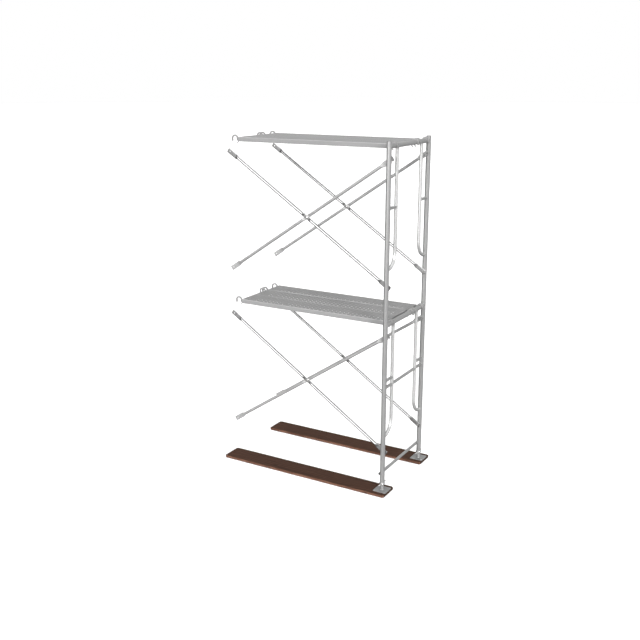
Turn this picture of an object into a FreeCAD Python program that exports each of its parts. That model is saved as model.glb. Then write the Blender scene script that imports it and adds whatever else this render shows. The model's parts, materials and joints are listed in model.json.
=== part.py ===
"""Frame scaffold section: two door frames stacked on jack bases and sole boards, with cross
braces and hook-on steel decks on one side. Millimetres, +Z up.

Origin: on the ground, midway along the bay and midway between the two posts.
+X runs along the bay towards the frames, +Y runs from the front posts to the rear posts.
"""

import math
import os

import FreeCAD, Part

# Driving dimensions
BAY = 1829.0  # frame plane to the neighbouring frame plane
FRAME_WIDTH = 914.0  # post axis to post axis
FRAME_PITCH = 1725.0  # one frame's post plus the collar of its coupling pin
COLLAR = 5.0
POST_R = 24.15
POST_WALL = 3.2
SOCKET_R = 21.1  # reamed end of a post, for the coupling pin
OPEN_SOCKET_R = 21.4  # open top of the upper frame, where the next frame's pin drops in
SOCKET_DEPTH = 110.0
LEDGER_DROP = 45.0  # ledger axis below the post top
STIFF_R = 16.85
STIFF_WALL = 2.6
RAIL_R = 15.0  # rungs and guard rail
RAIL_WALL = 2.0
WELD_GAP = 0.05  # between a coped tube end and the tube that it is welded to

STIFFENER_OFFSET = 176.5  # stiffener axis from the post axis
STIFFENER_FOOT = 505.0  # foot's axis above the post bottom
STIFFENER_BEND = 148.0
RUNG_HEIGHT = 1094.0

BOARD = (1975.0, 240.0, 28.0)
PLATE = (145.0, 145.0, 6.0)
NAIL_SPACING = 110.0
SPINDLE_R = 19.0
SPINDLE_WALL = 4.5
SPINDLE_LENGTH = 600.0
NUT_HEIGHT = 16.8
NUT_R = 29.0
NUT_REACH = 77.0  # wing tips from the spindle's axis
POST_BOTTOM = 110.0
NUT_CLEARANCE = 0.05  # radial, on the spindle
NUT_GAP = 0.2  # below the post

PIN_LOW = 329.0  # lower brace pin above the post bottom
PIN_SPACING = 1219.0
PIN_R = 6.0
PIN_END = 62.0  # pin's free end from the post axis
LOCK_PIVOT = 54.0  # gravity lock's pivot from the post axis
LOCK_THICK = 4.0

BRACE_R = 15.0
BRACE_WALL = 2.0
BRACE_NEAR = 31.0  # the two bars of a brace lie in planes this far from the post axis
BRACE_FAR = 43.0
SQUEEZE_SIDES = 20
PADDLE_HALF = 25.0
PADDLE_CORNER = 8.0
PADDLE_THICK = 5.0
PADDLE_TIP = 30.0  # beyond the hole
PADDLE_INBOARD = 84.0
MIDDLE_HALF = 18.0  # half the width of the flat where two bars cross
BRACE_HOLE_R = 6.4
RIVET_R = 5.0

STRIP_WIDTHS = {"wide": (249.5, 249.5), "narrow": (240.0,)}
DECK_FRONT = 104.0  # deck's front edge behind the front post axis
DECK_GAP = 10.0  # between the two planks
STRIP_GAP = 1.0
DECK_TOP = 16.6  # above the ledger axis
DECK_DEPTH = 45.0
DECK_END = 50.0  # sheet's end from the ledger axis
SHEET = 1.2
LIP = 15.0
BEAM_FACE = 52.0  # end beam's outer face from the ledger axis
BEAM_DEPTH = 40.0

CLAW_R = 24.55  # inside radius, over the ledger
CLAW_THICK = 14.5
CLAW_WIDTH = 12.0
CLAW_INSET = 20.0  # claw's centre from the plank's edge
CLAW_DROP = 22.0  # centre of the free leg's round tip below the ledger axis
LATCH_PIVOT = (43.0, -21.0)  # from the ledger axis: towards the plank, and up
LATCH_ROD_R = 4.0
TONGUE_TIP = (22.0, -46.0)  # centre of the tongue's round tip, from the ledger axis
TONGUE_DEPTH = 8.0
TONGUE_THICK = 6.0

SILL_R = 15.0
SILL_WALL = 2.0
SILL_HEIGHT = 90.0  # above the post bottom
SILL_NOTCH = 10.4  # how deep the sill tube's ends are notched round the posts
SILL_OVERHANG = 4.0  # beyond each post axis
GUARD_HEIGHT = 1023.0

# Worked out from the driving dimensions
FRAME_X = BAY / 2
POST_Y = {"front": -FRAME_WIDTH / 2, "rear": FRAME_WIDTH / 2}
INWARD = {"front": 1.0, "rear": -1.0}
LEVEL_BOTTOM = {"lower": POST_BOTTOM, "upper": POST_BOTTOM + FRAME_PITCH}
POST_LENGTH = FRAME_PITCH - COLLAR
LEDGER_HEIGHT = POST_LENGTH - LEDGER_DROP
PIN_HEIGHTS = (PIN_LOW, PIN_LOW + PIN_SPACING)
BRACE_LENGTH = math.hypot(BAY, PIN_SPACING)  # hole to hole
BRACE_SLOPE = math.degrees(math.atan2(PIN_SPACING, BAY))
PLATE_TOP = BOARD[2] + PLATE[2]
DECK_WIDTHS = {kind: sum(w) + STRIP_GAP * (len(w) - 1) for kind, w in STRIP_WIDTHS.items()}
DECK_LOW_Y = POST_Y["front"] + DECK_FRONT
DECK_CENTRE_Y = {
    "wide": DECK_LOW_Y + DECK_WIDTHS["wide"] / 2,
    "narrow": DECK_LOW_Y + DECK_WIDTHS["wide"] + DECK_GAP + DECK_WIDTHS["narrow"] / 2,
}

X = FreeCAD.Vector(1, 0, 0)
Y = FreeCAD.Vector(0, 1, 0)
Z = FreeCAD.Vector(0, 0, 1)


def point(x, y, z):
    return FreeCAD.Vector(x, y, z)


def box(low, high):
    """A box between two corners."""
    size = [b - a for a, b in zip(low, high)]
    return Part.makeBox(*size, point(*low))


def rod(start, end, radius):
    """A round bar between two points."""
    axis = end - start
    return Part.makeCylinder(radius, axis.Length, start, axis)


def tube(start, end, radius, wall):
    """A round tube between two points."""
    return rod(start, end, radius).cut(rod(start, end, radius - wall))


def moved(shape, x=0.0, y=0.0, z=0.0):
    copy = shape.copy()
    copy.translate(point(x, y, z))
    return copy


def turned(shape, degrees, axis=Z, centre=None):
    copy = shape.copy()
    copy.rotate(centre or point(0, 0, 0), axis, degrees)
    return copy


def fused(shapes):
    """One solid from shapes that overlap or touch."""
    return shapes[0].multiFuse(shapes[1:]).removeSplitter()


def save(name, solids):
    """One file per node; a list becomes a group of separate solids."""
    shape = solids if not isinstance(solids, list) else Part.makeCompound(solids)
    shape.exportStep(os.path.join("parts", name + ".step"))


# Ground: sole boards, base plates, spindles, nails


def nail_places(side):
    half = NAIL_SPACING / 2
    return [(FRAME_X + dx, POST_Y[side] + dy) for dx in (-half, half) for dy in (-half, half)]


def sole_board(side):
    length, width, thick = BOARD
    low = (-length / 2, POST_Y[side] - width / 2, 0)
    high = (length / 2, POST_Y[side] + width / 2, thick)
    board = box(low, high)
    long_edges = [e for e in board.Edges if abs(e.tangentAt(0).x) > 0.9]
    board = board.makeChamfer(1.5, long_edges)
    for x, y in nail_places(side):
        board = board.cut(rod(point(x, y, 6), point(x, y, thick + 1), 2.05))
    return board


def base_plate(side):
    length, width, thick = PLATE
    low = (FRAME_X - length / 2, POST_Y[side] - width / 2, BOARD[2])
    high = (FRAME_X + length / 2, POST_Y[side] + width / 2, PLATE_TOP)
    plate = box(low, high)
    corners = [e for e in plate.Edges if abs(e.tangentAt(0).z) > 0.9]
    plate = plate.makeFillet(9, corners)
    rim = [e for e in plate.Edges if abs(e.BoundBox.ZMin - PLATE_TOP) < 0.01]
    plate = plate.makeChamfer(1, rim)
    for x, y in nail_places(side):
        plate = plate.cut(rod(point(x, y, BOARD[2] - 1), point(x, y, PLATE_TOP + 1), 2.6))
    return plate


def base_nails():
    nails = []
    for side in POST_Y:
        for x, y in nail_places(side):
            shank = rod(point(x, y, 8), point(x, y, PLATE_TOP + 1), 2.0)
            head = rod(point(x, y, PLATE_TOP), point(x, y, PLATE_TOP + 1.6), 4.5)
            nails.append(fused([shank, head]))
    return nails


def jack_spindle(side):
    bottom = point(FRAME_X, POST_Y[side], PLATE_TOP)
    top = bottom + Z * SPINDLE_LENGTH
    spindle = tube(bottom, top, SPINDLE_R, SPINDLE_WALL)
    rim = [e for e in spindle.Edges if abs(e.BoundBox.ZMin - top.z) < 0.01]
    return spindle.makeChamfer(1.5, rim)


def jack_nut(side):
    """A round cast nut with two hammer wings."""
    top = POST_BOTTOM - NUT_GAP
    middle = top - NUT_HEIGHT * 0.55
    centre = point(FRAME_X, POST_Y[side], top - NUT_HEIGHT)
    body = rod(centre, centre + Z * NUT_HEIGHT, NUT_R)
    rims = [e for e in body.Edges if e.Length > 100 and e.BoundBox.ZLength < 0.01]
    body = body.makeChamfer(2, rims)
    wings = []
    for direction in (Y, -Y):
        hub = point(FRAME_X, POST_Y[side], middle)
        root = NUT_R - 6.0
        arm = Part.makeCone(7.0, 5.5, NUT_REACH - 6.5 - root, hub + direction * root, direction)
        knob = Part.makeSphere(6.5, hub + direction * (NUT_REACH - 6.5))
        wings += [arm, knob]
    nut = fused([body] + wings)
    return nut.cut(rod(centre - Z * 5, centre + Z * 40, SPINDLE_R + NUT_CLEARANCE))


# Door frames


def post_axis(side, level):
    bottom = point(FRAME_X, POST_Y[side], LEVEL_BOTTOM[level])
    return bottom, bottom + Z * POST_LENGTH


def post_envelope(side):
    """What a tube welded to a post is coped to."""
    bottom = point(FRAME_X, POST_Y[side], 0)
    return rod(bottom, bottom + Z * 5000, POST_R + WELD_GAP)


def post(side, level):
    bottom, top = post_axis(side, level)
    shape = tube(bottom, top, POST_R, POST_WALL)
    top_r = OPEN_SOCKET_R if level == "upper" else SOCKET_R
    shape = shape.cut(rod(bottom, bottom + Z * SOCKET_DEPTH, SOCKET_R))
    return shape.cut(rod(top - Z * SOCKET_DEPTH, top, top_r))


def ledger_axis(level):
    z = LEVEL_BOTTOM[level] + LEDGER_HEIGHT
    return point(FRAME_X, POST_Y["front"], z), point(FRAME_X, POST_Y["rear"], z)


def ledger(level):
    shape = tube(*ledger_axis(level), POST_R, POST_WALL)
    return shape.cut(post_envelope("front")).cut(post_envelope("rear"))


def stiffener(side, level):
    """A J tube: down from the ledger, then a round bend out to the post."""
    y = POST_Y[side] + INWARD[side] * STIFFENER_OFFSET
    bottom = LEVEL_BOTTOM[level]
    bend_top = bottom + STIFFENER_FOOT + STIFFENER_BEND
    ledger_z = bottom + LEDGER_HEIGHT
    outward = -INWARD[side]
    diagonal = STIFFENER_BEND * math.sqrt(0.5)
    start = point(FRAME_X, y, bend_top)
    middle = point(FRAME_X, y + outward * (STIFFENER_BEND - diagonal), bend_top - diagonal)
    foot = point(FRAME_X, y + outward * STIFFENER_BEND, bend_top - STIFFENER_BEND)
    path = Part.Wire(
        [
            Part.LineSegment(point(FRAME_X, y, ledger_z), start).toShape(),
            Part.Arc(start, middle, foot).toShape(),
            Part.LineSegment(foot, point(FRAME_X, POST_Y[side], foot.z)).toShape(),
        ]
    )
    skins = []
    for radius in (STIFF_R, STIFF_R - STIFF_WALL):
        circle = Part.Wire(Part.makeCircle(radius, point(FRAME_X, y, ledger_z), -Z))
        skins.append(path.makePipeShell([circle], True, False))
    shape = skins[0].cut(skins[1])
    shape = shape.cut(rod(*ledger_axis(level), POST_R + WELD_GAP))
    return largest(shape.cut(post_envelope(side)))


def largest(shape):
    """The biggest solid of a shape, without offcuts."""
    return max(shape.Solids, key=lambda solid: solid.Volume)


def upright_envelope(side):
    """What a tube welded to a stiffener is coped to."""
    y = POST_Y[side] + INWARD[side] * STIFFENER_OFFSET
    return rod(point(FRAME_X, y, 0), point(FRAME_X, y, 5000), STIFF_R + WELD_GAP)


def rail_piece(side, z):
    """A tube between a post and its stiffener."""
    y = POST_Y[side]
    far = y + INWARD[side] * STIFFENER_OFFSET
    shape = tube(point(FRAME_X, y, z), point(FRAME_X, far, z), RAIL_R, RAIL_WALL)
    return largest(shape.cut(post_envelope(side)).cut(upright_envelope(side)))


def rungs():
    """Short tubes between each post and its stiffener."""
    return [rail_piece(side, bottom + RUNG_HEIGHT) for bottom in LEVEL_BOTTOM.values() for side in POST_Y]


def guard_rail():
    """A rail across the lower frame, in three lengths between the posts and the stiffeners."""
    z = POST_BOTTOM + GUARD_HEIGHT
    ends = [point(FRAME_X, POST_Y[side] + INWARD[side] * STIFFENER_OFFSET, z) for side in POST_Y]
    middle = tube(ends[0], ends[1], RAIL_R, RAIL_WALL)
    for side in POST_Y:
        middle = middle.cut(upright_envelope(side))
    return [rail_piece("front", z), largest(middle), rail_piece("rear", z)]


def sill_tube():
    """A tube on the bay side of the lower frame's posts, its ends notched round them."""
    x = FRAME_X - POST_R - SILL_R + SILL_NOTCH
    z = POST_BOTTOM + SILL_HEIGHT
    start = point(x, POST_Y["front"] - SILL_OVERHANG, z)
    end = point(x, POST_Y["rear"] + SILL_OVERHANG, z)
    shape = tube(start, end, SILL_R, SILL_WALL)
    for side in POST_Y:
        shape = shape.cut(post_envelope(side))
    return largest(shape)


def pin_places():
    """Level, side and height of every brace pin."""
    return [(lv, side, LEVEL_BOTTOM[lv] + h) for lv in LEVEL_BOTTOM for side in POST_Y for h in PIN_HEIGHTS]


def brace_pin(side, z):
    """A stud on the post's inner face, with a forked end that carries the lock's cross pin."""
    inward = Y * INWARD[side]
    axis = point(FRAME_X, POST_Y[side], z)
    stud = rod(axis, axis + inward * PIN_END, PIN_R)
    foot = rod(axis, axis + inward * (POST_R + 4), 11.0)
    fork_start = axis + inward * 48.0
    fork_end = axis + inward * (PIN_END + 1)
    half = LOCK_THICK / 2 + 0.2
    low = [min(fork_start.y, fork_end.y), max(fork_start.y, fork_end.y)]
    slot = box((FRAME_X - half, low[0], z - 20), (FRAME_X + half, low[1], z + 20))
    pivot = axis + inward * LOCK_PIVOT
    cross = rod(pivot - X * (PIN_R - 1), pivot + X * (PIN_R - 1), 2.0)
    shape = fused([stud, foot]).cut(slot)
    return fused([shape, cross]).cut(post_envelope(side))


def brace_pins():
    return [largest(brace_pin(side, z)) for _, side, z in pin_places()]


def gravity_lock(side, z):
    """A flat tongue that hangs from the pin's end and keeps the brace on."""
    pivot = point(FRAME_X, POST_Y[side] + INWARD[side] * LOCK_PIVOT, z)
    half = X * (LOCK_THICK / 2)
    eye = rod(pivot - half, pivot + half, 5.5)
    low = (FRAME_X - LOCK_THICK / 2, pivot.y - 5.5, z - 27)
    high = (FRAME_X + LOCK_THICK / 2, pivot.y + 5.5, z)
    tip = rod(point(low[0], pivot.y, z - 27), point(high[0], pivot.y, z - 27), 5.5)
    tongue = fused([eye, box(low, high), tip])
    return tongue.cut(rod(pivot - half * 2, pivot + half * 2, 2.1))


def coupling_pins():
    """Hollow spigots with a collar, inside the joint of the lower and upper posts."""
    solids = []
    for side in POST_Y:
        _, joint = post_axis(side, "lower")
        spigot = rod(joint - Z * 100, joint + Z * (100 + COLLAR), 20.95)
        ends = [e for e in spigot.Edges if e.Length > 100 and e.BoundBox.ZLength < 0.01]
        spigot = spigot.makeChamfer(3, ends)
        collar = rod(joint, joint + Z * COLLAR, POST_R)
        bore = rod(joint - Z * 101, joint + Z * (101 + COLLAR), 17.4)
        solids.append(fused([spigot, collar]).cut(bore))
    return solids


# Cross braces


def oval(x, y, half_width, half_thick):
    """Corners of an oval section across the bar at x, its middle offset to y."""
    corners = []
    for i in range(SQUEEZE_SIDES):
        turn = 2 * math.pi * i / SQUEEZE_SIDES
        corners.append(point(x, y + half_thick * math.cos(turn), half_width * math.sin(turn)))
    return corners


def squeeze(x_flat, x_round, y_flat, half_width, half_thick):
    """The stretch of a bar where the round tube is pressed flat, in small flat facets.

    It stays just inside the plate and the tube that it joins, so that no two faces coincide."""
    flat = oval(x_flat, y_flat, half_width - 0.5, half_thick - 0.2)
    full = oval(x_round, 0, BRACE_R - 0.1, BRACE_R - 0.1)
    facets = [flat, full]
    for i in range(SQUEEZE_SIDES):
        j = (i + 1) % SQUEEZE_SIDES
        facets += [[flat[i], flat[j], full[i]], [full[i], flat[j], full[j]]]
    faces = [Part.Face(Part.makePolygon(corners + corners[:1])) for corners in facets]
    return Part.Solid(Part.makeShell(faces))


def paddle(sign):
    """The flattened end of a bar, square with rounded corners."""
    hole_x = sign * BRACE_LENGTH / 2
    half = PADDLE_THICK / 2
    end = hole_x + sign * PADDLE_TIP
    inboard = hole_x - sign * PADDLE_INBOARD
    low, high = sorted((end, inboard))
    plate = box((low, -half, -PADDLE_HALF), (high, half, PADDLE_HALF))
    corners = [e for e in plate.Edges if abs(e.tangentAt(0).y) > 0.9 and abs(e.CenterOfMass.x - end) < 0.1]
    plate = plate.makeFillet(PADDLE_CORNER, corners)
    neck = squeeze(inboard + sign * 4, inboard - sign * 40, 0, PADDLE_HALF, half)
    return [plate, neck]


def brace_bar(offset_to_middle, open_end):
    """A bar along X, flattened at both ends and, towards its partner, at the middle.

    open_end is for the bar that lets go of its upper pin: there the hole is a slot, open below."""
    half_plate = 2.0
    middle_y = offset_to_middle - math.copysign(half_plate + 0.1, offset_to_middle)
    pieces = [box((-32, middle_y - half_plate, -MIDDLE_HALF), (32, middle_y + half_plate, MIDDLE_HALF))]
    for sign in (-1, 1):
        pieces.append(squeeze(sign * 30, sign * 62, middle_y, MIDDLE_HALF, half_plate))
        start = sign * 61.0
        end = sign * (BRACE_LENGTH / 2 - PADDLE_INBOARD - 39)
        pieces.append(tube(point(start, 0, 0), point(end, 0, 0), BRACE_R, BRACE_WALL))
        pieces += paddle(sign)
    bar = fused(pieces)
    bar = bar.cut(rod(point(0, -30, 0), point(0, 30, 0), RIVET_R + 0.05))
    for sign in (-1, 1):
        x = sign * BRACE_LENGTH / 2
        radius = PIN_R + 0.6 if open_end and sign > 0 else BRACE_HOLE_R
        bar = bar.cut(rod(point(x, -9, 0), point(x, 9, 0), radius))
        if open_end and sign > 0:
            bar = bar.cut(box((x - radius, -9, -40), (x + radius, 9, 0)))
    return bar


def brace_planes(side):
    """Y of the falling bar and of the rising bar; the falling bar is always in front."""
    y = POST_Y[side]
    if side == "front":
        return y + BRACE_NEAR, y + BRACE_FAR
    return y - BRACE_FAR, y - BRACE_NEAR


def brace(side, level, falls):
    """One bar of an X: a falling bar ends on the lower pin, a rising bar on the upper pin."""
    falling_y, rising_y = brace_planes(side)
    y = falling_y if falls else rising_y
    to_middle = (falling_y + rising_y) / 2 - y
    slope = BRACE_SLOPE if falls else -BRACE_SLOPE
    bar = turned(brace_bar(to_middle, not falls), slope, Y)
    z = LEVEL_BOTTOM[level] + PIN_LOW + PIN_SPACING / 2
    return moved(bar, 0, y, z)


def brace_rivets():
    solids = []
    for level, bottom in LEVEL_BOTTOM.items():
        for side in POST_Y:
            y = sum(brace_planes(side)) / 2
            z = bottom + PIN_LOW + PIN_SPACING / 2
            shank = rod(point(0, y - 6, z), point(0, y + 6, z), RIVET_R)
            heads = []
            for sign in (-1, 1):
                face = point(0, y + sign * 4.2, z)
                dome = Part.makeSphere(11.0, point(0, y + sign * (4.2 - 6.5), z))
                heads.append(dome.common(rod(face, face + Y * sign * 6, 9.0)))
            solids.append(fused([shank] + heads))
    return solids


# Decks. A plank's parts are made with its centre at x = 0, y = 0 and the ledger axis at z = 0.


def strip(width, y):
    """A folded channel: top sheet, two skirts and two lips."""
    length = BAY / 2 - DECK_END
    low = (-length, y - width / 2, DECK_TOP - DECK_DEPTH)
    high = (length, y + width / 2, DECK_TOP)
    outer = box(low, high)
    top_edges = [e for e in outer.Edges if abs(e.tangentAt(0).x) > 0.9 and e.BoundBox.ZMin > 0]
    outer = outer.makeFillet(5, top_edges)
    inner_low = (-length - 1, low[1] + SHEET, low[2] + SHEET)
    inner_high = (length + 1, high[1] - SHEET, high[2] - SHEET)
    inner = box(inner_low, inner_high)
    top_edges = [e for e in inner.Edges if abs(e.tangentAt(0).x) > 0.9 and e.BoundBox.ZMin > 0]
    inner = inner.makeFillet(5 - SHEET, top_edges)
    slot = box((-length - 1, low[1] + LIP, low[2] - 1), (length + 1, high[1] - LIP, low[2] + 2))
    return outer.cut(inner).cut(slot)


def deck_panel(kind):
    """The strips, notched under the sheet at both ends for the end beams."""
    width = DECK_WIDTHS[kind]
    solids = []
    y = -width / 2
    for strip_width in STRIP_WIDTHS[kind]:
        shape = strip(strip_width, y + strip_width / 2)
        for sign in (-1, 1):
            near = sign * (BAY / 2 - DECK_END + 1)
            far = sign * (BAY / 2 - BEAM_FACE - BEAM_DEPTH - 0.5)
            low, high = sorted((near, far))
            half = width / 2 - SHEET
            notch_top = DECK_TOP - SHEET
            notch = box((low, -half, notch_top - 50), (high, half, notch_top - 0.01))
            shape = shape.cut(notch)
        solids.append(shape)
        y += strip_width + STRIP_GAP
    return solids


def end_beam(kind):
    """A box section across the plank's end, the ledger axis at x = 0 and the plank towards +X."""
    half = DECK_WIDTHS[kind] / 2 - SHEET - 4.0
    top = DECK_TOP - SHEET - 0.1
    bottom = DECK_TOP - DECK_DEPTH + 1
    outer = box((BEAM_FACE, -half, bottom), (BEAM_FACE + BEAM_DEPTH, half, top))
    wall = 1.6
    inner = box(
        (BEAM_FACE + wall, -half - 1, bottom + wall), (BEAM_FACE + BEAM_DEPTH - wall, half + 1, top - wall)
    )
    return outer.cut(inner)


def sector(radius, depth, start, end, width):
    """Part of a ring about the Y axis, from one angle to another, measured up from +X."""
    half = width / 2
    span = Part.makeCylinder(radius + depth, width, point(0, -half, 0), Y, end - start)
    span = span.cut(rod(point(0, -half - 1, 0), point(0, half + 1, 0), radius))
    return turned(span, -start - first_angle(end - start), Y)


def first_angle(sweep):
    """Where a part cylinder about Y begins, so that sector can turn it into place."""
    probe = Part.makeCylinder(10, 1, point(0, 0, 0), Y, sweep)
    centre = probe.CenterOfMass
    middle = math.degrees(math.atan2(centre.z, centre.x))
    return -(middle - sweep / 2)


def claw():
    """The plate that hooks over the ledger, with the lug that carries the latch's rod."""
    half = CLAW_WIDTH / 2
    ring = sector(CLAW_R, CLAW_THICK, -32, 180, CLAW_WIDTH)
    leg_x = -CLAW_R - CLAW_THICK / 2
    leg = box((leg_x - CLAW_THICK / 2, -half, -CLAW_DROP), (leg_x + CLAW_THICK / 2, half, 0))
    tip = rod(point(leg_x, -half, -CLAW_DROP), point(leg_x, half, -CLAW_DROP), CLAW_THICK / 2)
    shank = box((CLAW_R, -half, -14), (BEAM_FACE, half, 8))
    px, pz = LATCH_PIVOT
    lug = rod(point(px, -half, pz), point(px, half, pz), 9.0)
    link = box((px - 9, -half, pz), (px + 9, half, -6))
    shape = fused([ring, leg, tip, shank, lug, link])
    shape = shape.cut(rod(point(0, -half - 1, 0), point(0, half + 1, 0), CLAW_R))
    return shape.cut(rod(point(px, -half - 1, pz), point(px, half + 1, pz), LATCH_ROD_R + 0.1))


def claw_offsets(kind):
    reach = DECK_WIDTHS[kind] / 2 - CLAW_INSET
    return (-reach, reach)


def latch(kind):
    """A rod through both claws' lugs with a tongue under the ledger beside each claw."""
    px, pz = LATCH_PIVOT
    tx, tz = TONGUE_TIP
    reach = claw_offsets(kind)[1]
    half_rod = reach + CLAW_WIDTH / 2 + 5
    pieces = [rod(point(px, -half_rod, pz), point(px, half_rod, pz), LATCH_ROD_R)]
    tongue_y = reach - CLAW_WIDTH / 2 - 0.5 - TONGUE_THICK / 2
    tilt = math.degrees(math.atan2(pz - tz, px - tx))
    length = math.hypot(px - tx, pz - tz)
    for sign in (-1, 1):
        y = sign * tongue_y
        half = TONGUE_THICK / 2
        eye = rod(point(px, y - half, pz), point(px, y + half, pz), 7.0)
        finger = box((0, -half, -TONGUE_DEPTH / 2), (length, half, TONGUE_DEPTH / 2))
        finger = moved(turned(finger, -tilt, Y), tx, y, tz)
        tip = rod(point(tx, y - half, tz), point(tx, y + half, tz), TONGUE_DEPTH / 2)
        pieces += [eye, finger, tip]
    return fused(pieces)


def at_end(shape, kind, level, end):
    """Puts an end part on the frame's ledger or on the place of the next frame's ledger."""
    z = LEVEL_BOTTOM[level] + LEDGER_HEIGHT
    if end == "near":
        return moved(turned(shape, 180), FRAME_X, DECK_CENTRE_Y[kind], z)
    return moved(shape, -FRAME_X, DECK_CENTRE_Y[kind], z)


def hook_beams(kind, level):
    """Both end beams with the two claws that each carries."""
    solids = []
    for end in ("near", "far"):
        solids.append(at_end(end_beam(kind), kind, level, end))
        for y in claw_offsets(kind):
            solids.append(at_end(moved(claw(), 0, y, 0), kind, level, end))
    return solids


def build():
    for side in POST_Y:
        save("sole_board_" + side, sole_board(side))
        save("base_plate_" + side, base_plate(side))
        save("jack_spindle_" + side, jack_spindle(side))
        save("jack_nut_" + side, jack_nut(side))
    save("base_nails", base_nails())
    for level in LEVEL_BOTTOM:
        save(level + "_ledger", ledger(level))
        for side in POST_Y:
            save(level + "_post_" + side, post(side, level))
            save(level + "_stiffener_" + side, stiffener(side, level))
            save(level + "_brace_falling_" + side, brace(side, level, True))
            save(level + "_brace_rising_" + side, brace(side, level, False))
    save("stiffener_rungs", rungs())
    save("brace_pins", brace_pins())
    for index, (level, side, z) in enumerate(pin_places()):
        height = ("low", "high")[index % 2]
        save(level + "_lock_" + side + "_" + height, gravity_lock(side, z))
    save("coupling_pins", coupling_pins())
    save("sill_tube", sill_tube())
    save("end_guard_rail", guard_rail())
    save("brace_rivets", brace_rivets())
    for level in LEVEL_BOTTOM:
        for kind in STRIP_WIDTHS:
            z = LEVEL_BOTTOM[level] + LEDGER_HEIGHT
            panel = [moved(s, 0, DECK_CENTRE_Y[kind], z) for s in deck_panel(kind)]
            save(level + "_deck_" + kind, panel)
            save(level + "_hook_beams_" + kind, hook_beams(kind, level))
            for end in ("near", "far"):
                save(level + "_latch_" + kind + "_" + end, at_end(latch(kind), kind, level, end))


os.makedirs("parts", exist_ok=True)
build()
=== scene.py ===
import json
import math
import random

import bmesh
import bpy
from mathutils import Matrix, Vector, noise


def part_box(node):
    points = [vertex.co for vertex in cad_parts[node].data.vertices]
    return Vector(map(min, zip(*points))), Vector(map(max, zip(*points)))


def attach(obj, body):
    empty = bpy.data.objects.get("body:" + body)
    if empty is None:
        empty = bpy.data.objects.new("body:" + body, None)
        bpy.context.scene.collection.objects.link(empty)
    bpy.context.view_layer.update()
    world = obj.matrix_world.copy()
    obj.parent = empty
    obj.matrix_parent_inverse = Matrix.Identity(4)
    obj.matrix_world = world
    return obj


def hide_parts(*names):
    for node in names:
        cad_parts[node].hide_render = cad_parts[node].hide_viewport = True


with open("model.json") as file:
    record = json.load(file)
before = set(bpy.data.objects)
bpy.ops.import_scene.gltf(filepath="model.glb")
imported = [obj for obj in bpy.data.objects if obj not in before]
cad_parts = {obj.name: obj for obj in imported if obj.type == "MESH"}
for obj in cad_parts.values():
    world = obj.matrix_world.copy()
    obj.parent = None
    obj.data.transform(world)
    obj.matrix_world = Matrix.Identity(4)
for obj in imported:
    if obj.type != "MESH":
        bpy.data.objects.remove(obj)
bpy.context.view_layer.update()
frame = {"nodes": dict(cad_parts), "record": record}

LEVELS = ("lower", "upper")
SIDES = ("front", "rear")
KINDS = ("wide", "narrow")
X, Y, Z = Vector((1, 0, 0)), Vector((0, 1, 0)), Vector((0, 0, 1))
INWARD = {"front": Y, "rear": -Y}


# Places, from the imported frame


def middle(node):
    low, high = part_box(node)
    return (low + high) / 2


def mount(name):
    """Where a mount of the record sits."""
    for entry in frame["record"]["mounts"]:
        if entry["name"] == name:
            return Vector(entry["pos_m"])
    raise KeyError(name)


POST_R = 0.02415
STIFF_R = 0.01685
RAIL_R = 0.015
POSTS = {side: middle("lower_post_" + side) for side in SIDES}
FRAME_X = POSTS["front"].x
LEDGERS = {level: middle(level + "_ledger") for level in LEVELS}
PLATE_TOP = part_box("base_plate_front")[1].z
PIN_Z = {
    (level, end): mount(f"{level}_brace_hole_{bar}_front").z
    for level in LEVELS
    for end, bar in (("high", "falling"), ("low", "rising"))
}


# Mesh helpers


def add_object(name, bm, material, sharp=35.0):
    """A new object from a bmesh in row coordinates, smooth except at sharp edges."""
    bmesh.ops.recalc_face_normals(bm, faces=bm.faces)
    mesh = bpy.data.meshes.new(name)
    bm.to_mesh(mesh)
    bm.free()
    mesh.shade_smooth()
    mesh.set_sharp_from_angle(angle=math.radians(sharp))
    mesh.materials.append(material)
    obj = bpy.data.objects.new(name, mesh)
    bpy.context.scene.collection.objects.link(obj)
    return obj


def circle(bm, centre, out, across, radius, sides, first=0.0):
    """New vertices round a centre, from the direction out towards the direction across."""
    turns = [first + 2 * math.pi * k / sides for k in range(sides)]
    return [bm.verts.new(centre + radius * (out * math.cos(a) + across * math.sin(a))) for a in turns]


def band(bm, first, second):
    """Quads between two rings of vertices."""
    for i in range(len(first)):
        j = (i + 1) % len(first)
        bm.faces.new((first[i], first[j], second[j], second[i]))


def skin(bm, rings, closed_path=False):
    """Bands from ring to ring; a path that isn't closed gets a cap at each end."""
    for first, second in zip(rings, rings[1:]):
        band(bm, first, second)
    if closed_path:
        band(bm, rings[-1], rings[0])
    else:
        bm.faces.new(rings[0])
        bm.faces.new(rings[-1])


def apply_modifiers(obj):
    """Bakes an object's modifiers into a new mesh."""
    graph = bpy.context.evaluated_depsgraph_get()
    mesh = bpy.data.meshes.new_from_object(obj.evaluated_get(graph))
    obj.modifiers.clear()
    obj.data = mesh


def cut(obj, cutters):
    """Takes closed bmesh shapes out of an object."""
    for bm in cutters:
        tool = add_object("cutter", bm, obj.data.materials[0])
        modifier = obj.modifiers.new("cut", "BOOLEAN")
        modifier.operation = "DIFFERENCE"
        modifier.solver = "EXACT"
        modifier.object = tool
        apply_modifiers(obj)
        bpy.data.objects.remove(tool)


def round_bar(start, end, radius, sides):
    bm = bmesh.new()
    axis = (end - start).normalized()
    side = axis.orthogonal().normalized()
    other = axis.cross(side)
    skin(bm, [circle(bm, centre, side, other, radius, sides) for centre in (start, end)])
    return bm


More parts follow.
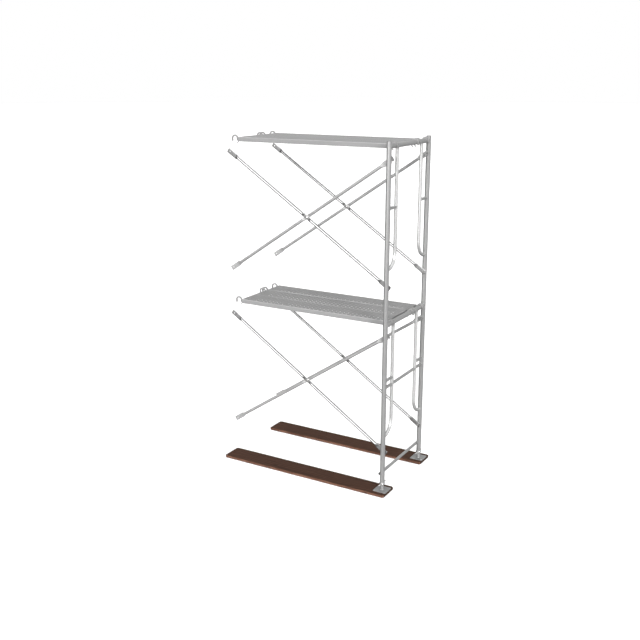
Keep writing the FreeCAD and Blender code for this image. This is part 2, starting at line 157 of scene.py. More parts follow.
def block(low, high):
    bm = bmesh.new()
    bmesh.ops.create_cube(bm, size=1.0)
    low, high = Vector(low), Vector(high)
    for v in bm.verts:
        v.co = Vector(a + (b - a) * (c + 0.5) for a, b, c in zip(low, high, v.co))
    return bm


WIRE_SIDES = 8


def wire(bm, path, radii, reference, closed=False):
    """A round bead or wire along points; reference gives each point's sideways direction."""
    rings = []
    last = len(path) - 1
    for i, point in enumerate(path):
        before = path[i - 1] if closed or i else point
        after = path[(i + 1) % len(path)] if closed or i < last else point
        along = (after - before).normalized()
        out = reference(point)
        out = (out - along * out.dot(along)).normalized()
        rings.append(circle(bm, point, out, along.cross(out), radii[i], WIRE_SIDES))
    skin(bm, rings, closed_path=closed)


def saddle(base, axis, radius, host_axis, host_radius, steps):
    """Where a round branch from base along axis meets a round host; a flat host has no radius."""
    across = axis.cross(host_axis).normalized() if host_radius else axis.orthogonal().normalized()
    other = axis.cross(across)
    points = []
    for i in range(steps):
        turn = 2 * math.pi * i / steps
        out = across * math.cos(turn) + other * math.sin(turn)
        reach = 0.0
        if host_radius:
            reach = math.sqrt(max(host_radius**2 - (radius * math.cos(turn)) ** 2, 0.0))
        points.append(base + axis * reach + out * radius)
    return points


RIPPLE = 0.0036  # length of one ripple of a weld bead
RIPPLE_STEPS = 3
RIPPLE_SWELL = 0.16  # as a share of the bead's radius


def rippled(bead, steps):
    """The radius of a weld bead at each step along it."""
    turns = [2 * math.pi * i / RIPPLE_STEPS for i in range(steps)]
    return [bead * (1.0 + RIPPLE_SWELL * math.sin(turn)) for turn in turns]


def weld(bm, base, axis, radius, host_axis, host_radius, bead):
    """A rippled bead round a welded tube's end."""
    steps = RIPPLE_STEPS * round(2 * math.pi * radius / RIPPLE)
    path = saddle(base, axis, radius, host_axis, host_radius, steps)

    def outwards(point):
        offset = point - base
        return offset - axis * offset.dot(axis)

    wire(bm, path, rippled(bead, steps), outwards, closed=True)


def between(start, end, t):
    return start + (end - start) * t


def smoothstep(t):
    t = min(max(t, 0.0), 1.0)
    return t * t * (3 - 2 * t)


# Materials


def feed(tree, socket, value):
    """Links a socket to another one, or sets its value."""
    if isinstance(value, bpy.types.NodeSocket):
        tree.links.new(value, socket)
    else:
        socket.default_value = value


class Nodes:
    """A short way to write a material's node tree."""

    def __init__(self, name):
        self.material = bpy.data.materials.new(name)
        self.material.use_nodes = True
        self.tree = self.material.node_tree
        self.shader = self.tree.nodes["Principled BSDF"]
        where = self.add("ShaderNodeTexCoord").outputs
        self.place = where["Object"]
        self.normal = self.add("ShaderNodeSeparateXYZ", {"Vector": where["Normal"]}).outputs

    def add(self, kind, inputs=None, **settings):
        node = self.tree.nodes.new(kind)
        for key, value in settings.items():
            setattr(node, key, value)
        for key, value in (inputs or {}).items():
            feed(self.tree, node.inputs[key], value)
        return node

    def stretched(self, scale):
        return self.add("ShaderNodeMapping", {"Vector": self.place, "Scale": scale}).outputs[0]

    def noise(self, vector, scale, detail=3.0, roughness=0.55):
        inputs = {"Vector": vector, "Scale": scale, "Detail": detail, "Roughness": roughness}
        return self.add("ShaderNodeTexNoise", inputs).outputs["Fac"]

    def span(self, value, low, high, source=(0.0, 1.0)):
        """Maps a value from its source span to another one, clamped."""
        node = self.add("ShaderNodeMapRange", {"Value": value, "To Min": low, "To Max": high})
        node.inputs["From Min"].default_value, node.inputs["From Max"].default_value = source
        return node.outputs["Result"]

    def math(self, operation, first, second=0.0):
        return self.add("ShaderNodeMath", {0: first, 1: second}, operation=operation).outputs[0]

    def mix(self, factor, first, second):
        node = self.add("ShaderNodeMix", data_type="RGBA")
        values = {"Factor_Float": factor, "A_Color": first, "B_Color": second}
        for socket in node.inputs:
            if socket.identifier in values:
                feed(self.tree, socket, values[socket.identifier])
        return next(s for s in node.outputs if s.identifier == "Result_Color")

    def ramp(self, value, stops):
        node = self.add("ShaderNodeValToRGB", {"Fac": value})
        elements = node.color_ramp.elements
        while len(elements) < len(stops):
            elements.new(0.5)
        for element, (position, colour) in zip(elements, stops):
            element.position = position
            element.color = colour
        return node.outputs["Color"]

    def finish(self, colour, roughness, metallic, height, relief, specular=0.5, edge=1.0):
        """Feeds the shader; relief is the bump's height, edge the tint of grazing reflections."""
        bump = self.add("ShaderNodeBump", {"Height": height, "Distance": relief, "Strength": 1.0})
        values = {
            "Base Color": colour,
            "Roughness": roughness,
            "Metallic": metallic,
            "Normal": bump.outputs[0],
            "Specular IOR Level": specular,
            "Specular Tint": (edge, edge, edge, 1.0),
        }
        for key, value in values.items():
            feed(self.tree, self.shader.inputs[key], value)
        return self.material


def grey(level, warmth=0.0):
    return (level * (1 + warmth), level, level * (1 - warmth), 1.0)


def galvanised(
    name,
    tone,
    rough,
    metallic,
    spangle=85.0,
    streaks=(26, 26, 1.6),
    relief=0.00006,
    contrast=1.0,
    fold_highlight=0.0,
    specular=0.5,
    edge=1.0,
):
    """Hot-dip zinc: crystal spangle, run-off streaks, chalky patches of white rust, and a painted highlight
    on folds.

    spangle is the crystals' density, streaks how the run-off is stretched along X, Y and Z, contrast how
    much tone and gloss vary, and the fold tone is a lighter tone painted as a highlight on folds that face
    sideways and up, on a piece that has them."""
    n = Nodes(name)
    warmth = 0.002
    cells = n.add("ShaderNodeTexVoronoi", {"Vector": n.place, "Scale": spangle})
    crystal = n.add("ShaderNodeSeparateColor", {"Color": cells.outputs["Color"]}).outputs
    cloud = n.noise(n.place, 3.2, 5.0)
    streak = n.noise(n.stretched(streaks), 1.0, 4.0)
    fine = n.noise(n.place, 230.0, 2.0)
    shade = n.math("ADD", n.span(crystal["Red"], 0.0, 0.24), n.span(cloud, 0.0, 0.42, source=(0.3, 0.7)))
    shade = n.math("ADD", shade, n.span(streak, 0.0, 0.34, source=(0.3, 0.7)))
    dark = grey(tone * (1 - 0.20 * contrast), warmth)
    light = grey(min(tone * (1 + 0.18 * contrast), 1.0), warmth)
    colour = n.ramp(shade, [(0.0, dark), (0.5, grey(tone, warmth)), (1.0, light)])
    chalk = n.span(n.noise(n.place, 11.0, 6.0, 0.7), 0.0, 0.5, source=(0.60, 0.74))
    colour = n.mix(chalk, colour, grey(min(tone * (1 + 0.25 * contrast), 1.0), 0.008))
    gloss = n.span(crystal["Green"], rough - 0.07 * contrast, rough + 0.05 * contrast)
    roughness = n.math("ADD", gloss, n.span(chalk, 0.0, 0.16 * contrast))
    metal = n.span(chalk, metallic, metallic * (1 - 0.4 * contrast))
    height = n.math("ADD", n.span(crystal["Blue"], 0.0, 0.5), n.math("MULTIPLY", fine, 0.9))
    # Painted highlight: folds that face sideways and up are made lighter, as if they caught the light.
    if fold_highlight:
        sideways = n.span(n.math("ABSOLUTE", n.normal["Y"]), 0.0, 1.0, source=(0.50, 0.54))
        upwards = n.span(n.normal["Z"], 0.0, 1.0, source=(0.10, 0.15))
        colour = n.mix(n.math("MULTIPLY", sideways, upwards), colour, grey(fold_highlight))
    return n.finish(colour, roughness, metal, height, relief, specular, edge)


def timber(name):
    """Rough-sawn board: dark weathered faces; redder sawn long sides, also painted lighter as painted light
    from the front; ends darker, end grain with painted shade.
    """
    n = Nodes(name)
    bend = n.noise(n.stretched((0.9, 6.0, 6.0)), 1.0, 2.0)
    sway = n.add("ShaderNodeCombineXYZ", {"Y": n.math("MULTIPLY", bend, 1.5)}).outputs[0]
    straight = n.stretched((0.32, 7.5, 7.5))
    warped = n.add("ShaderNodeVectorMath", {0: straight, 1: sway}, operation="ADD").outputs[0]
    wave = {"Vector": warped, "Scale": 1.7, "Distortion": 5.0, "Detail": 3.0, "Detail Scale": 1.2}
    rings = n.add("ShaderNodeTexWave", wave, bands_direction="Y").outputs["Fac"]
    fibre = n.noise(n.stretched((5.0, 320.0, 320.0)), 1.0, 3.0)
    stain = n.noise(n.place, 2.6, 4.0)
    grain = n.math("ADD", n.math("MULTIPLY", rings, 0.5), n.math("MULTIPLY", fibre, 0.5))
    face = n.ramp(
        grain,
        [
            (0.12, (0.040, 0.0195, 0.0125, 1)),
            (0.55, (0.060, 0.029, 0.0185, 1)),
            (0.9, (0.086, 0.043, 0.027, 1)),
        ],
    )
    # The long sides' colour: redder sawn wood, and lighter than the faces as painted light from the front.
    edge = n.ramp(
        grain,
        [
            (0.1, (0.075, 0.037, 0.025, 1)),
            (0.55, (0.135, 0.066, 0.044, 1)),
            (0.9, (0.20, 0.106, 0.073, 1)),
        ],
    )
    # The ends' colour: end grain, darkened further as painted shade.
    end = n.ramp(
        n.noise(n.stretched((1.0, 60.0, 240.0)), 1.0, 3.0),
        [(0.3, (0.020, 0.010, 0.006, 1)), (0.7, (0.060, 0.030, 0.018, 1))],
    )
    # Painted light and shade by facing: sides facing Y take the lighter side colour, ends facing X the darker
    # end colour.
    sideways = n.math("ABSOLUTE", n.normal["Y"])
    endways = n.math("ABSOLUTE", n.normal["X"])
    colour = n.mix(n.span(sideways, 0.0, 1.0, source=(0.55, 0.8)), face, edge)
    colour = n.mix(n.span(endways, 0.0, 1.0, source=(0.55, 0.8)), colour, end)
    cells = n.add("ShaderNodeTexVoronoi", {"Vector": n.stretched((3.1, 9.0, 9.0)), "Scale": 1.0})
    knot = n.span(cells.outputs["Distance"], 0.75, 0.0, source=(0.05, 0.12))
    colour = n.mix(knot, colour, (0.022, 0.011, 0.007, 1))
    colour = n.mix(n.span(stain, 0.0, 0.35, source=(0.45, 0.7)), colour, (0.048, 0.025, 0.017, 1))
    roughness = n.span(fibre, 0.70, 0.92)
    height = n.math("ADD", fibre, n.math("MULTIPLY", rings, 0.6))
    return n.finish(colour, roughness, 0.0, height, 0.0005, 0.12)


def cast_iron(name):
    n = Nodes(name)
    sand = n.noise(n.place, 520.0, 4.0, 0.7)
    patch = n.noise(n.place, 38.0, 4.0)
    colour = n.ramp(patch, [(0.3, grey(0.62, 0.01)), (0.6, grey(0.80)), (0.8, grey(0.92, -0.01))])
    roughness = n.span(sand, 0.16, 0.34)
    return n.finish(colour, roughness, 0.85, sand, 0.0003)


def plated(name, tone, rough):
    """Zinc-plated small parts with a trace of yellow passivation."""
    n = Nodes(name)
    patch = n.noise(n.place, 60.0, 4.0)
    scratch = n.noise(n.stretched((90, 90, 900)), 1.0, 2.0)
    dark, light = grey(tone * 0.86, 0.03), grey(min(tone * 1.12, 1.0))
    colour = n.ramp(patch, [(0.25, dark), (0.5, grey(tone, 0.012)), (0.8, light)])
    roughness = n.span(scratch, rough - 0.06, rough + 0.09)
    return n.finish(colour, roughness, 0.8, scratch, 0.00003)


FLOOR_GLOW = 0.34


def pale_floor(name):
    """A light matte floor with a glow of its own, so that shadows on it stay pale."""
    n = Nodes(name)
    mottle = n.noise(n.place, 0.7, 3.0)
    colour = n.ramp(mottle, [(0.3, grey(0.80)), (0.7, grey(0.82))])
    material = n.finish(colour, n.span(mottle, 0.85, 0.95), 0.0, mottle, 0.0001, 0.1)
    n.shader.inputs["Emission Color"].default_value = grey(1.0)
    n.shader.inputs["Emission Strength"].default_value = FLOOR_GLOW
    return material


SMOOTH_RELIEF = 0.000003
TUBE_STREAKS = (26, 1.6, 26)
BAR_STREAKS = (9, 26, 9)
DECK_STREAKS = (1.2, 9, 9)
PLATE_STREAKS = (8, 8, 8)
POST_STEEL = galvanised("galvanised_posts", 0.37, 0.34, 0.58, relief=0.00001, contrast=0.4, edge=0.4)
RAIL_STEEL = galvanised(
    "galvanised_rails", 0.68, 0.26, 0.60, spangle=160.0, relief=SMOOTH_RELIEF, contrast=0.15, edge=0.1
)
CROSS_STEEL = galvanised(
    "galvanised_cross_tubes", 0.33, 0.42, 0.50, streaks=TUBE_STREAKS, relief=0.00002, contrast=0.5
)
# The falling and rising bars are one tube. The falling bars get a lighter, glossier lit copy of the zinc as a
# painted highlight. The rising bars get a darker shaded copy as painted shade.
LIT_FALLING_STEEL = galvanised(
    "galvanised_falling_bars_lit",
    0.43,
    0.22,
    0.86,
    spangle=160.0,
    streaks=BAR_STREAKS,
    relief=SMOOTH_RELIEF,
    contrast=0.15,
    edge=0.0,
)
SHADED_RISING_STEEL = galvanised("galvanised_rising_bars_shaded", 0.36, 0.42, 0.30, streaks=BAR_STREAKS, contrast=0.5)
DECK_STEEL = galvanised(
    "galvanised_decks",
    0.27,
    0.70,
    0.08,
    spangle=60.0,
    streaks=DECK_STREAKS,
    contrast=0.3,
    # painted highlight on the folds along the strips' edges
    fold_highlight=0.36,
    specular=0.15,
)
HOOK_STEEL = galvanised("galvanised_hooks", 0.30, 0.55, 0.25, spangle=110.0, specular=0.2, edge=0.3)
PLATE_STEEL = galvanised(
    "galvanised_plates", 0.28, 0.46, 0.50, spangle=95.0, streaks=PLATE_STREAKS, contrast=0.6
)
THREAD_STEEL = galvanised("galvanised_thread", 0.24, 0.50, 0.12, spangle=160.0, specular=0.2)
WELD_STEEL = galvanised("galvanised_welds", 0.46, 0.38, 0.60, spangle=240.0, relief=0.0001)
CAST = cast_iron("cast_nut_zinc")
PLATED = plated("zinc_plated", 0.36, 0.38)
BRIGHT = plated("bright_zinc", 0.72, 0.22)
SPRING = plated("spring_wire", 0.62, 0.26)
TIMBER = timber("weathered_timber")


# Sole boards

ARRIS = 0.0022  # radius of a worn arris
FACE_SPANS = 14
EDGE_SPANS = 3
BOARD_STATIONS = 120
END_WEAR = 0.0014
DENT = 0.0005
CHECKS_PER_END = 4
CLEAR = 0.002  # how far a cutter reaches past the surface that it opens


def board_section(half_w, half_t):
    """(y, z) round a board's section, from its +Y edge up and over, with four worn arrises."""
    arcs = []
    for sy, sz, first in ((1, 1, 0), (-1, 1, 90), (-1, -1, 180), (1, -1, 270)):
        y, z = sy * (half_w - ARRIS), sz * (half_t - ARRIS)
        turns = [math.radians(first + 30 * k) for k in range(4)]
        arcs.append([(y + ARRIS * math.cos(a), z + ARRIS * math.sin(a)) for a in turns])
    section = []
    for index, arc in enumerate(arcs):
        (y0, z0), (y1, z1) = arc[-1], arcs[(index + 1) % 4][0]
        spans = EDGE_SPANS if index % 2 else FACE_SPANS
        section += arc
        section += [(between(y0, y1, k / spans), between(z0, z1, k / spans)) for k in range(1, spans)]
    return section


def drying_checks(side, low, high):
    """Wedges that cut cracks into both ends of a board, each open at the end and at the top."""
    rng = random.Random("checks " + side)
    half_w = (high.y - low.y) / 2
    top = high.z + CLEAR
    cutters = []
    for end, edge in ((-1, low.x), (1, high.x)):
        for _ in range(CHECKS_PER_END):
            y = (low.y + high.y) / 2 + rng.uniform(-0.85, 0.85) * half_w
            reach = rng.uniform(0.03, 0.11)
            wide = rng.uniform(0.0007, 0.0014)
            deep = rng.uniform(0.35, 0.9) * (high.z - low.z)
            sway = rng.uniform(-0.004, 0.004)
            mouth_x, point_x = edge + end * CLEAR, edge - end * reach
            bm = bmesh.new()
            corners = [(mouth_x, y + s * wide, z) for z in (top, high.z - deep) for s in (-1, 1)]
            corners += [(point_x, y + sway, z) for z in (top, high.z - 0.001)]
            v = [bm.verts.new(corner) for corner in corners]
            for face in ((0, 1, 3, 2), (0, 2, 5, 4), (1, 4, 5, 3), (0, 4, 1), (2, 3, 5)):
                bm.faces.new([v[k] for k in face])
            cutters.append(bm)
    return cutters


def board(side):
    """A sawn board with worn arrises, a slightly uneven face and drying checks at its ends."""
    low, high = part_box("sole_board_" + side)
    centre = (low + high) / 2
    half_w, half_t = (high.y - low.y) / 2, (high.z - low.z) / 2
    section = board_section(half_w, half_t)
    bm = bmesh.new()
    rings = []
    for i in range(BOARD_STATIONS + 1):
        x = low.x + (high.x - low.x) * i / BOARD_STATIONS
        trim = 1.0 - (END_WEAR / half_t if i in (0, BOARD_STATIONS) else 0.0)
        ring = []
        for y, z in section:
            spot = Vector((x * 3.0, (centre.y + y) * 14.0, z * 14.0))
            dent = DENT * (noise.noise(spot) - 0.6)
            worn_y, worn_z = y * (trim + dent / half_w), z * trim * (1 + dent / half_t)
            ring.append(bm.verts.new((x, centre.y + worn_y, centre.z + worn_z)))
        rings.append(ring)
    skin(bm, rings)
    obj = add_object("board_" + side, bm, TIMBER, sharp=50)
    cut(obj, drying_checks(side, low, high))
    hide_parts("sole_board_" + side)
    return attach(obj, "root")


# Jacks

PITCH = 0.008  # the nut's lift in one turn
# Share of one turn, and the height there as a share of the thread's depth
THREAD_PROFILE = ((0.00, 0.0), (0.22, 1.0), (0.46, 1.0), (0.68, 0.0), (0.84, 0.0))
THREAD_DEPTH = 0.0021
THREAD_SIDES = 40
RUNOUT = 0.006  # length over which the thread fades
FOOT_PLAIN = 0.004
HEAD_PLAIN = 0.002
BORE_R = 0.0145
CAST_GRID = 0.0011  # voxel size
CAST_SMOOTHING = 7  # rounds of smoothing


def thread(bm, axis, low_z, high_z, root):
    """A rolled round thread: each row climbs one pitch round the spindle and runs on into the row
    that starts one turn higher."""
    rows = []
    for turn in range(-1, math.ceil((high_z - low_z) / PITCH)):
        for share, crest in THREAD_PROFILE:
            row = []
            for i in range(THREAD_SIDES):
                z = low_z + PITCH * (turn + share + i / THREAD_SIDES)
                fade = smoothstep((z - low_z - FOOT_PLAIN) / RUNOUT)
                fade *= smoothstep((high_z - HEAD_PLAIN - z) / RUNOUT)
                radius = root + THREAD_DEPTH * crest * fade
                a = 2 * math.pi * i / THREAD_SIDES
                x, y = axis.x + radius * math.cos(a), axis.y + radius * math.sin(a)
                row.append(bm.verts.new((x, y, min(max(z, low_z), high_z))))
            rows.append(row)
    per_turn = len(THREAD_PROFILE)
    joined = [row + [above[0]] for row, above in zip(rows, rows[per_turn:])] + rows[-per_turn:]
    for lower, upper in zip(joined, joined[1:]):
        for k in range(min(len(lower), len(upper)) - 1):
            bm.faces.new((lower[k], lower[k + 1], upper[k + 1], upper[k]))


def spindle(side):
    """A tube with a rolled round thread all along it."""
    low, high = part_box("jack_spindle_" + side)
    axis = (low + high) / 2
    root = (high.x - low.x) / 2 - THREAD_DEPTH
    bm = bmesh.new()
    thread(bm, axis, low.z, high.z, root)
    bmesh.ops.remove_doubles(bm, verts=bm.verts, dist=1e-6)
    bmesh.ops.dissolve_degenerate(bm, dist=1e-6, edges=bm.edges)
    inside = [
        circle(bm, Vector((axis.x, axis.y, z)), X, Y, radius, THREAD_SIDES)
        for radius, z in ((root, high.z), (BORE_R, high.z), (BORE_R, low.z), (root, low.z))
    ]
    for first, second in zip(inside, inside[1:]):
        band(bm, first, second)
    bmesh.ops.remove_doubles(bm, verts=bm.verts, dist=2e-5)
    obj = add_object("spindle_" + side, bm, THREAD_STEEL, sharp=60)
    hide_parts("jack_spindle_" + side)
    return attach(obj, "root")


def cast_nut(side):
    """The jack nut with the soft corners and swollen junctions of a casting."""
    node = frame["nodes"]["jack_nut_" + side]
    obj = bpy.data.objects.new("cast_nut_" + side, node.data.copy())
    bpy.context.scene.collection.objects.link(obj)
    obj.data.materials.clear()
    obj.data.materials.append(CAST)
    grid = obj.modifiers.new("grid", "REMESH")
    grid.mode = "VOXEL"
    grid.voxel_size = CAST_GRID
    soften = obj.modifiers.new("soften", "SMOOTH")
    soften.factor = 0.5
    soften.iterations = CAST_SMOOTHING
    apply_modifiers(obj)
    obj.data.shade_smooth()
    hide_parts("jack_nut_" + side)
    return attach(obj, "jack_nut_" + side)


# Welds of the jacks and the door frames; each bead is given as a radius

STIFFENER_OFFSET = 0.1765
BEND_FOOT = 0.505  # stiffener's foot above the post's bottom
SPINDLE_FOOT_R = 0.0175
PIN_COLLAR_R = 0.011
PLATE_BEAD = 0.0032
LEDGER_BEAD = 0.0027
TUBE_BEAD = 0.0024
RAIL_BEAD = 0.0020
PIN_BEAD = 0.0022


def at_height(place, z):
    return Vector((place.x, place.y, z))


def plate_welds():
    """Beads round the feet of the spindles."""
    bm = bmesh.new()
    for side in SIDES:
        weld(bm, at_height(POSTS[side], PLATE_TOP), Z, SPINDLE_FOOT_R, X, 0.0, PLATE_BEAD)
    obj = add_object("plate_welds", bm, WELD_STEEL, sharp=60)
    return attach(obj, "root")


def frame_welds():
    """Beads where ledgers, stiffeners, rungs, rails and brace pins meet the posts and stiffeners."""
    bm = bmesh.new()
    for level in LEVELS:
        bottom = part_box(level + "_post_front")[0].z
        ledger_z = LEDGERS[level].z
        rung_z = rung_height(level)
        for side in SIDES:
            post, inward = POSTS[side], INWARD[side]
            upright = post + inward * STIFFENER_OFFSET
            weld(bm, at_height(post, ledger_z), inward, POST_R, Z, POST_R, LEDGER_BEAD)
            weld(bm, at_height(upright, ledger_z), -Z, STIFF_R, Y, POST_R, TUBE_BEAD)
            weld(bm, at_height(post, bottom + BEND_FOOT), inward, STIFF_R, Z, POST_R, TUBE_BEAD)
            rails = (rung_z, middle("end_guard_rail").z) if level == "lower" else (rung_z,)
            for z in rails:
                weld(bm, at_height(post, z), inward, RAIL_R, Z, POST_R, TUBE_BEAD)
                weld(bm, at_height(upright, z), -inward, RAIL_R, Z, STIFF_R, RAIL_BEAD)
                if z != rung_z:
                    weld(bm, at_height(upright, z), inward, RAIL_R, Z, STIFF_R, RAIL_BEAD)
            for end in ("low", "high"):
                weld(bm, at_height(post, PIN_Z[level, end]), inward, PIN_COLLAR_R, Z, POST_R, PIN_BEAD)
    obj = add_object("frame_welds", bm, WELD_STEEL, sharp=60)
    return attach(obj, "frame")


def rung_height(level):
    """The rungs of both frames are one node: the lower frame's are lowest in it, the upper's highest."""
    low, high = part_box("stiffener_rungs")
    return low.z + RAIL_R if level == "lower" else high.z - RAIL_R


# Cross braces

TUBE_R = 0.015
PADDLE_HALF = 0.025
PADDLE_CORNER = 0.008
PADDLE_THICK = 0.005
PADDLE_TIP = 0.030
PADDLE_INBOARD = 0.084
PADDLE_TAPER = 0.040  # length over which a flattened end becomes round
TIP_WEAR = 0.72  # thickness left at the very tip
MIDDLE_HALF = 0.018  # half the width of the flat where two bars cross
MIDDLE_HALF_THICK = 0.002
MIDDLE_FLAT = 0.010
MIDDLE_START = 0.062  # distance from the crossing where the tube starts to flatten
MIDDLE_TAPER = 0.032
MIDDLE_GAP = 0.0001  # from the plane between two bars to each bar's flat
HOLE_R = 0.0064
OPEN_HOLE_R = 0.0066  # the hole that is a slot, open below
CUT_REACH = 0.009
SLOT_REACH = 0.04


def bar_section(half_width, half_thick, offset, x, count=36):
    """Corners of a round to flat section; a flat one keeps rounded edges."""
    corners = []
    for i in range(count):
        turn = 2 * math.pi * i / count
        c, s = math.cos(turn), math.sin(turn)
        spread = math.sin(math.pi / 2 * max(-1.0, min(1.0, c / 0.6)))
        z = (half_width - half_thick) * spread + half_thick * c
        corners.append(Vector((x, offset + half_thick * s, z)))
    return corners


def bar_stations(length, to_middle):
    """(x, half width, half thickness, offset) from one tip of a bar to the other."""
    flat = PADDLE_THICK / 2
    tip_centre = length / 2 + PADDLE_TIP - PADDLE_CORNER
    inboard = length / 2 - PADDLE_INBOARD
    half = []
    for k in range(9):
        turn = math.radians(90 - 90 * k / 8)
        width = PADDLE_HALF - PADDLE_CORNER * (1 - math.cos(turn))
        thick = flat * (TIP_WEAR if k == 0 else 1.0)
        half.append((tip_centre + PADDLE_CORNER * math.sin(turn), width, thick, 0.0))
    for k in range(1, 7):
        half.append((between(tip_centre, inboard, k / 7), PADDLE_HALF, flat, 0.0))
    for k in range(11):
        t = smoothstep(k / 10)
        x = inboard - PADDLE_TAPER * k / 10
        half.append((x, between(PADDLE_HALF, TUBE_R, t), between(flat, TUBE_R, t), 0.0))
    for k in range(1, 12):
        half.append((between(inboard - PADDLE_TAPER, MIDDLE_START, k / 12), TUBE_R, TUBE_R, 0.0))
    for k in range(11):
        t = smoothstep(k / 10)
        x = MIDDLE_START - MIDDLE_TAPER * k / 10
        width, thick = between(TUBE_R, MIDDLE_HALF, t), between(TUBE_R, MIDDLE_HALF_THICK, t)
        half.append((x, width, thick, to_middle * t))
    half.append((MIDDLE_FLAT, MIDDLE_HALF, MIDDLE_HALF_THICK, to_middle))
    mirrored = [(-x, w, h, o) for x, w, h, o in reversed(half)]
    return half + mirrored


def brace_bar(level, side, falls):
    """A tube flattened at its ends and where it crosses its partner, with a hole in each end."""
    kind, other = ("falling", "rising") if falls else ("rising", "falling")
    node = f"{level}_brace_{kind}_{side}"
    far = mount(f"{level}_brace_hole_{kind}_{side}")
    partner = mount(f"{level}_brace_hole_{other}_{side}")
    near = Vector((FRAME_X, far.y, partner.z))
    length = (near - far).length
    gap = (partner.y - far.y) / 2
    to_middle = gap - math.copysign(MIDDLE_HALF_THICK + MIDDLE_GAP, gap)
    bm = bmesh.new()
    rings = []
    for x, width, thick, offset in bar_stations(length, to_middle):
        rings.append([bm.verts.new(corner) for corner in bar_section(width, thick, offset, x)])
    skin(bm, rings)
    # painted light and shade: the lit copy of the zinc for falling bars, the shaded copy for rising bars
    material = LIT_FALLING_STEEL if falls else SHADED_RISING_STEEL
    obj = add_object(f"{level}_bar_{kind}_{side}", bm, material, sharp=50)
    cutters = []
    for sign in (-1, 1):
        opened = sign > 0 and not falls
        radius = OPEN_HOLE_R if opened else HOLE_R
        hole = Vector((sign * length / 2, 0, 0))
        cutters.append(round_bar(hole - Y * CUT_REACH, hole + Y * CUT_REACH, radius, 32))
        if opened:
            low = (hole.x - radius, -CUT_REACH, -SLOT_REACH)
            cutters.append(block(low, (hole.x + radius, CUT_REACH, 0)))
    cut(obj, cutters)
    slope = math.atan2(far.z - near.z, near.x - far.x)
    centre = (far + near) / 2
    obj.data.transform(Matrix.Translation(centre) @ Matrix.Rotation(slope, 4, "Y"))
    obj.data.shade_smooth()
    obj.data.set_sharp_from_angle(angle=math.radians(40))
    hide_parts(node)
    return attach(obj, "frame" if falls else node)


# Planks

SHEET = 0.0012
DECK_DEPTH = 0.045
STRIPS = {"wide": 2, "narrow": 1}
STRIP_GAP = 0.001
FILLET = 0.005
FOLD_TURNS = [math.radians(degrees) for degrees in (22.5, 45, 67.5, 90)]
LIP = 0.015
LIP_BEND = 0.002
SKIRT_BREAK = 0.02  # an extra row down the skirt
COLUMNS = 36
ROWS = 5
CELL_SIDE = 4  # spans along one side of a perforated cell
# Radius and rise of a drain hole's collar, from its rim in to the hole
CRATER = ((0.0120, 0.0), (0.0102, 0.0005), (0.0085, 0.0013), (0.0068, 0.0016), (0.0056, 0.0013))
BEAM_ZONE = 0.0425  # length at each end where the beam sits between the outer skirts


def perforated_sheet(bm, x0, x1, y0, y1, z):
    """A flat sheet with rows of raised drain holes; returns its two long border rows."""
    span_x, span_y = (x1 - x0) / COLUMNS, (y1 - y0) / ROWS
    made = {}

    def corner(i, j):
        if (i, j) not in made:
            made[i, j] = bm.verts.new((x0 + span_x * i / CELL_SIDE, y0 + span_y * j / CELL_SIDE, z))
        return made[i, j]

    n = CELL_SIDE
    for column in range(COLUMNS):
        for row in range(ROWS):
            i0, j0 = column * n, row * n
            rim = [corner(i0 + k, j0) for k in range(n)]
            rim += [corner(i0 + n, j0 + k) for k in range(n)]
            rim += [corner(i0 + n - k, j0 + n) for k in range(n)]
            rim += [corner(i0, j0 + n - k) for k in range(n)]
            centre = Vector((x0 + span_x * (column + 0.5), y0 + span_y * (row + 0.5), z))
            for radius, rise in CRATER:
                ring = circle(bm, centre + Z * rise, X, Y, radius, 4 * n, math.radians(225))
                band(bm, rim, ring)
                rim = ring
    return [[corner(i, j) for i in range(COLUMNS * n + 1)] for j in (0, ROWS * n)]


def strip(bm, x0, x1, y0, y1, top, outer):
    """One folded strip as a single skin; outer says which of its two skirts run to the ends."""
    rows = perforated_sheet(bm, x0, x1, y0 + FILLET, y1 - FILLET, top)
    bottom = top - DECK_DEPTH
    for border, edge, inward, whole in ((rows[0], y0, 1, outer[0]), (rows[1], y1, -1, outer[1])):
        profile = [
            (edge + inward * FILLET * (1 - math.sin(a)), top - FILLET * (1 - math.cos(a))) for a in FOLD_TURNS
        ]
        profile += [(edge, top - SKIRT_BREAK), (edge, bottom + LIP_BEND)]
        profile += [(edge + inward * LIP_BEND, bottom), (edge + inward * LIP, bottom)]
        lip = len(profile) - 1
        previous = border
        for index, (y, z) in enumerate(profile):
            row = [bm.verts.new((v.co.x, y, z)) for v in border]
            is_fold = index < len(FOLD_TURNS)
            for k in range(len(border) - 1):
                x = (border[k].co.x + border[k + 1].co.x) / 2
                in_end = min(x - x0, x1 - x) < BEAM_ZONE
                if in_end and not is_fold and (not whole or index == lip):
                    continue
                bm.faces.new((previous[k], previous[k + 1], row[k + 1], row[k]))
            previous = row
    loose = [v for v in bm.verts if not v.link_faces]
    bmesh.ops.delete(bm, geom=loose, context="VERTS")


